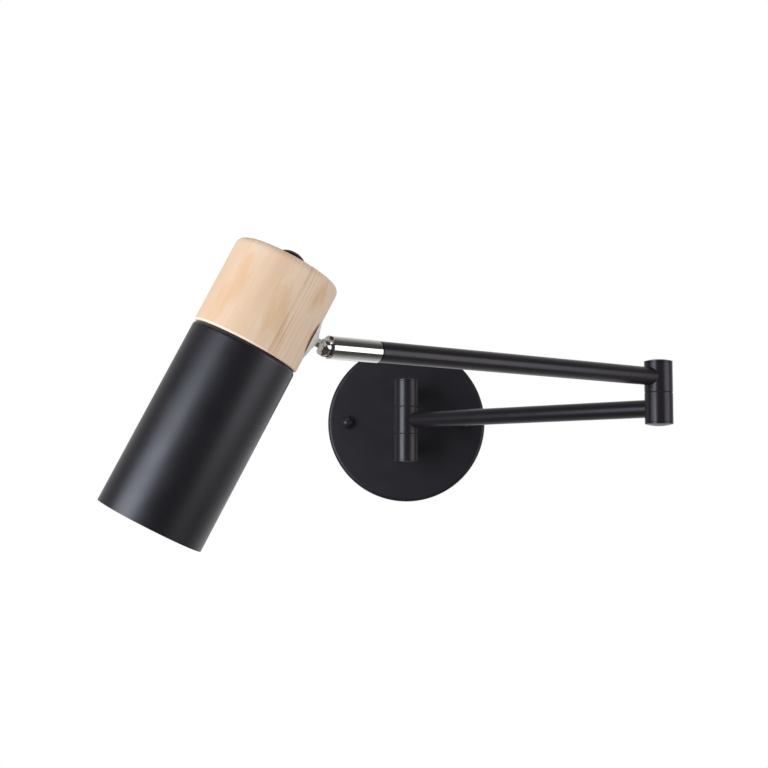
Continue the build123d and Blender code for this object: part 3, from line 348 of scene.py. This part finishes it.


# Painted fill light: the cap turns paler towards its right side, away from the key light, to lift
# the shade there.
shaded_side_fill = add_range(tree, wood_x, 0.0, 0.42, -0.004, 0.020)
wood = mix_colour(tree, shaded_side_fill, wood, WOOD_SHADED_SIDE_FILL)
for warm_place in WARM_PLACES:
    wood = add_blotch(wood, WOOD_WARM, *warm_place, width=0.0040, strength=0.75)
for brown_place in BROWN_PLACES:
    wood = add_blotch(wood, WOOD_BROWN, *brown_place, width=0.0050, strength=0.35)
warmth = add_noise(tree, place, size=0.012, detail=2, stretch=(1, 1, 0.3), distortion=0.3)
wood = mix_colour(tree, add_range(tree, warmth, 0.0, 0.45, 0.56, 0.72), wood, WOOD_WARM)
wood = mix_colour(tree, add_range(tree, cloudy, 0.0, 0.25, 0.50, 0.65), wood, WOOD_ROSE)
fibres = add_noise(tree, place, size=0.0013, detail=4, stretch=(1, 1, 0.035))
wood = mix_colour(tree, add_range(tree, fibres, 0.0, 0.10, 0.50, 0.75), wood, WOOD_LINE)

sway = add_noise(tree, place, size=0.06, detail=1, stretch=(0.2, 0.2, 1))
sway = add_range(tree, sway, -0.0005, 0.0005)
tree_x = add_maths(tree, "SUBTRACT", wood_x, TREE_CENTRE[0])
tree_y = add_maths(tree, "SUBTRACT", wood_y, TREE_CENTRE[1])
ring = add_maths(tree, "SQRT", add_square_sum(tree, tree_x, tree_y))
across = add_maths(tree, "ADD", add_maths(tree, "ADD", ring, TREE_CENTRE[0]), sway)
end_grain = add_range(tree, wood_z, 0.0, 1.0, END_GRAIN_LOW, END_GRAIN_TOP)
wave = add_maths(tree, "SINE", add_maths(tree, "MULTIPLY", across, 2 * pi / RING_SPACING))
wave = add_maths(tree, "MULTIPLY", add_range(tree, wave, 0.02, 0.26, 0.2, 1.0), end_grain)
wood = mix_colour(tree, wave, wood, WOOD_LINE)
fade = add_noise(tree, place, size=0.02, detail=2)
for grain_line, strength in GRAIN_LINES:
    distance = add_maths(tree, "ABSOLUTE", add_maths(tree, "SUBTRACT", across, grain_line))
    trace = add_range(tree, distance, strength, 0.0, LINE_CORE, LINE_EDGE)
    trace = add_maths(tree, "MULTIPLY", trace, add_range(tree, fade, 0.35, 1.0, 0.35, 0.6))
    wood = mix_colour(tree, trace, wood, WOOD_LINE)
# Painted highlight: a pale line along the lower edge of the wood, strongest on the left where the
# key light falls.
edge = add_range(tree, wood_z, 0.6, 0.0, 0.0009, 0.0014)
edge = add_maths(tree, "MULTIPLY", edge, add_range(tree, wood_x, 1.0, 0.2, -0.002, 0.016))
wood = mix_colour(tree, edge, wood, WOOD_EDGE_HIGHLIGHT)
tree.links.new(wood, shader.inputs["Base Color"])
tree.links.new(add_range(tree, fibres, 0.5, 0.62), shader.inputs["Roughness"])
shader.inputs["Specular IOR Level"].default_value = 0.35
add_bump(tree, shader, fibres, height=0.00003)
dress(pale_wood, "wood_cap")

# ---------------------------------------------------------------- shade
# A tube of 1 mm steel closed by an inward lip under the wood, with a rounded shoulder. Sprayed
# satin black outside and matt white inside, and held to the wood by three screws.
SHOULDER_CENTRE_RADIUS = 0.031      # of the shoulder's round, from the head's axis
SHOULDER_CENTRE_HEIGHT = -0.003     # and from the seam under the wood
SHEET_MIDDLE = 0.0025               # midway through the sheet, from the centre of the round

shade_paint, tree, shader = new_black_paint(
    "shade_paint", (0.0046, 0.0034, 0.0056), smooth=0.37, rough=0.43)
shader.inputs["Specular IOR Level"].default_value = 0.86
place = add_place(tree, head_turn, head_centre)
shade_x, shade_y, shade_z = add_parts(tree, place)
radius = add_maths(tree, "SQRT", add_square_sum(tree, shade_x, shade_y))
outwards = add_maths(tree, "SUBTRACT", radius, SHOULDER_CENTRE_RADIUS)
outwards = add_maths(tree, "MAXIMUM", outwards, 0.0)
upwards = add_maths(tree, "SUBTRACT", shade_z, SHOULDER_CENTRE_HEIGHT)
upwards = add_maths(tree, "MAXIMUM", upwards, 0.0)
from_round = add_maths(tree, "SQRT", add_square_sum(tree, outwards, upwards))
inside = add_maths(tree, "LESS_THAN", from_round, SHEET_MIDDLE)
black = shader.inputs["Base Color"].links[0].from_socket
cloud = add_noise(tree, place, size=0.02, detail=3)
white = add_ramp(tree, cloud, [(0.3, (0.60, 0.595, 0.58)), (0.7, (0.66, 0.655, 0.64))])
tree.links.new(mix_colour(tree, inside, black, white), shader.inputs["Base Color"])
dress(shade_paint, "shade")
dress(zinc, "shade_screws")

# ---------------------------------------------------------------- lamp holder
# Moulded black holder for a screw-in bulb, clamped by a threaded ring, with a brass screw shell
# and a spring contact inside.
holder_plastic, tree, shader = new_clouded(
    "holder_plastic", size=0.006, detail=4, dark=(0.012, 0.012, 0.012),
    light=(0.018, 0.018, 0.018), smooth=0.35, rough=0.5)
add_bump(tree, shader, add_noise(tree, add_place(tree), size=0.0005, detail=2), height=0.00001)
dress(holder_plastic, "lamp_holder", "holder_ring")

brass, tree, shader = new_clouded(
    "pressed_brass", size=0.005, detail=5, dark=(0.62, 0.43, 0.17), light=(0.78, 0.58, 0.27),
    smooth=0.22, rough=0.38)
shader.inputs["Metallic"].default_value = 1.0
dress(brass, "holder_shell", "holder_contact")

# ---------------------------------------------------------------- bulb
# Small opal globe bulb: a blown glass with a smooth white coat inside, cemented into a rolled
# aluminium screw cap.
opal_glass, tree, shader = new_clouded(
    "opal_glass", size=0.015, detail=3, dark=(0.86, 0.85, 0.83), light=(0.90, 0.89, 0.87),
    smooth=0.18, rough=0.28)
shader.inputs["Subsurface Weight"].default_value = 0.4
shader.inputs["Subsurface Radius"].default_value = (0.004, 0.004, 0.0035)
shader.inputs["Coat Weight"].default_value = 0.6
shader.inputs["Coat Roughness"].default_value = 0.04
dress(opal_glass, "bulb_glass")

cap_metal, tree, shader = new_clouded(
    "rolled_cap_metal", size=0.004, detail=5, dark=(0.60, 0.60, 0.60), light=(0.72, 0.72, 0.72),
    smooth=0.25, rough=0.4, turn=head_turn, centre=head_centre)
shader.inputs["Metallic"].default_value = 1.0
dress(cap_metal, "bulb_cap")

# ---------------------------------------------------------------- switch and knob
# Rotary switch under the top of the wood with its hexagon nut in a recess, and a moulded black
# knob with fine flutes pressed on its spindle.
knob_plastic, tree, shader = new_clouded(
    "knob_plastic", size=0.004, detail=4, dark=(0.004, 0.0035, 0.0035),
    light=(0.006, 0.0055, 0.005), smooth=0.34, rough=0.44)
shader.inputs["Specular IOR Level"].default_value = 0.12
add_bump(tree, shader, add_noise(tree, add_place(tree), size=0.0004, detail=2), height=0.000008)
dress(knob_plastic, "switch_knob", "rotary_switch")
dress(zinc, "switch_nut")
dress(brass, "switch_spindle")

# ---------------------------------------------------------------- camera
# The photograph's view: straight on to the wall and a little below the hub, with a long lens.
# The pose and the lens come from a fit of the plate, the arms and the head to the photograph.
PICTURE_WIDTH = 768                 # pixels
FOCAL_LENGTH = 1300                 # pixels of the photograph
CAMERA_PLACE = (-0.0028, -1.1816, -0.0693)
CAMERA_SWING = radians(0.85)        # to the left of square on to the wall
CAMERA_LIFT = radians(5.13)         # above level
CAMERA_ROLL = radians(0.18)

camera_data = bpy.data.cameras.new("camera")
camera = bpy.data.objects.new("camera", camera_data)
bpy.context.scene.collection.objects.link(camera)
bpy.context.scene.camera = camera
camera_data.sensor_width = 36
camera_data.lens = FOCAL_LENGTH / PICTURE_WIDTH * camera_data.sensor_width
turn = Matrix.Rotation(CAMERA_SWING, 4, "Z") @ Matrix.Rotation(radians(90) + CAMERA_LIFT, 4, "X")
turn = turn @ Matrix.Rotation(CAMERA_ROLL, 4, "Z")
camera.matrix_world = Matrix.Translation(CAMERA_PLACE) @ turn

# ---------------------------------------------------------------- floor
# Plain pale studio floor, as far below the lamp as a wall light is usually mounted above it. It
# takes the lamp's shadow and runs out into the white backdrop towards its rim.
FLOOR_HEIGHT = -1.45
FLOOR_RADIUS = 2.6
WHITE_FROM = 1.9                    # metres from the wall plate to where the floor turns white
WHITE_AT = 2.9

floor_mesh = bpy.data.meshes.new("floor")
floor = bpy.data.objects.new("floor", floor_mesh)
bpy.context.scene.collection.objects.link(floor)
disc = bmesh.new()
bmesh.ops.create_circle(disc, cap_ends=True, segments=128, radius=FLOOR_RADIUS)
bmesh.ops.translate(disc, verts=disc.verts, vec=(0, 0, FLOOR_HEIGHT))
disc.to_mesh(floor_mesh)
disc.free()
floor_paint, tree, shader = new_material("floor_paint")
shader.inputs["Base Color"].default_value = (0.92, 0.92, 0.92, 1)
shader.inputs["Roughness"].default_value = 0.8
backdrop_white = tree.nodes.new("ShaderNodeEmission")
distance = tree.nodes.new("ShaderNodeVectorMath")
distance.operation = "LENGTH"
tree.links.new(add_place(tree), distance.inputs[0])
to_rim = add_range(tree, distance.outputs["Value"], 0.62, 1.0, WHITE_FROM, WHITE_AT)
ray = tree.nodes.new("ShaderNodeLightPath")
blend = tree.nodes.new("ShaderNodeMixShader")
seen_white = add_maths(tree, "MULTIPLY", to_rim, ray.outputs["Is Camera Ray"])
tree.links.new(seen_white, blend.inputs["Fac"])
tree.links.new(shader.outputs["BSDF"], blend.inputs[1])
tree.links.new(backdrop_white.outputs["Emission"], blend.inputs[2])
surface = tree.nodes["Material Output"].inputs["Surface"]
tree.links.new(blend.outputs["Shader"], surface)
floor_mesh.materials.append(floor_paint)
floor.visible_glossy = False


# ---------------------------------------------------------------- studio light
# One large softbox at the left of the camera, a fainter upright one at the right, and one above.
# The backdrop behind the lamp is white, and so is what the camera sees around it.
def add_softbox(name, azimuth, rise, distance, width, height, radiance, colour):
    """A softbox that faces the lamp; azimuth goes left from the camera's side, rise goes up."""
    light = bpy.data.lights.new(name, "AREA")
    light.shape = "RECTANGLE"
    light.size = width
    light.size_y = height
    light.energy = radiance * pi * width * height
    light.color = colour
    box = bpy.data.objects.new(name, light)
    bpy.context.scene.collection.objects.link(box)
    turn, lift = radians(azimuth), radians(rise)
    way = Vector((-sin(turn) * cos(lift), -cos(turn) * cos(lift), sin(lift)))
    facing = way.to_track_quat("Z", "Y").to_matrix().to_4x4()
    box.matrix_world = Matrix.Translation(Vector(LAMP_MIDDLE) + distance * way) @ facing
    box.visible_camera = False


LAMP_MIDDLE = (0.0, -0.25, 0.0)
add_softbox("left_softbox", azimuth=48, rise=-2, distance=1.30, width=0.90, height=0.95,
            radiance=6.0, colour=(0.90, 0.94, 1.0))
add_softbox("right_softbox", azimuth=-66, rise=-4, distance=1.30, width=0.96, height=0.88,
            radiance=2.0, colour=(1.0, 0.96, 0.97))
add_softbox("top_softbox", azimuth=10, rise=80, distance=1.40, width=1.20, height=0.80,
            radiance=1.0, colour=(1.0, 1.0, 1.0))

ROOM_FILL = (0.50, 0.49, 0.48)
REFLECTED_ROOM = (                  # grey of the room in a reflection, from in front to behind
    (0.45, 0.065), (0.54, 0.10), (0.66, 0.30), (0.80, 0.55), (0.96, 1.0))
WHITE = (1.0, 1.0, 1.0)

world = bpy.data.worlds.new("studio")
bpy.context.scene.world = world
world.cycles.sampling_method = "NONE"
world.use_nodes = True
tree = world.node_tree
sky = tree.nodes["Background"]
ray = tree.nodes.new("ShaderNodeLightPath")
direction = tree.nodes.new("ShaderNodeTexCoord")
facing_wall = add_parts(tree, direction.outputs["Generated"])[1]
towards_wall = add_range(tree, facing_wall, 0.0, 1.0, -1.0, 1.0)
reflected = add_ramp(tree, towards_wall, [(place, (grey,) * 3) for place, grey in REFLECTED_ROOM])
polished = add_maths(tree, "MAXIMUM", ray.outputs["Is Glossy Ray"],
                     ray.outputs["Is Transmission Ray"])
seen = mix_colour(tree, polished, ROOM_FILL, reflected)
seen = mix_colour(tree, ray.outputs["Is Camera Ray"], seen, WHITE)
tree.links.new(seen, sky.inputs["Color"])
bpy.context.scene.view_settings.view_transform = "Standard"
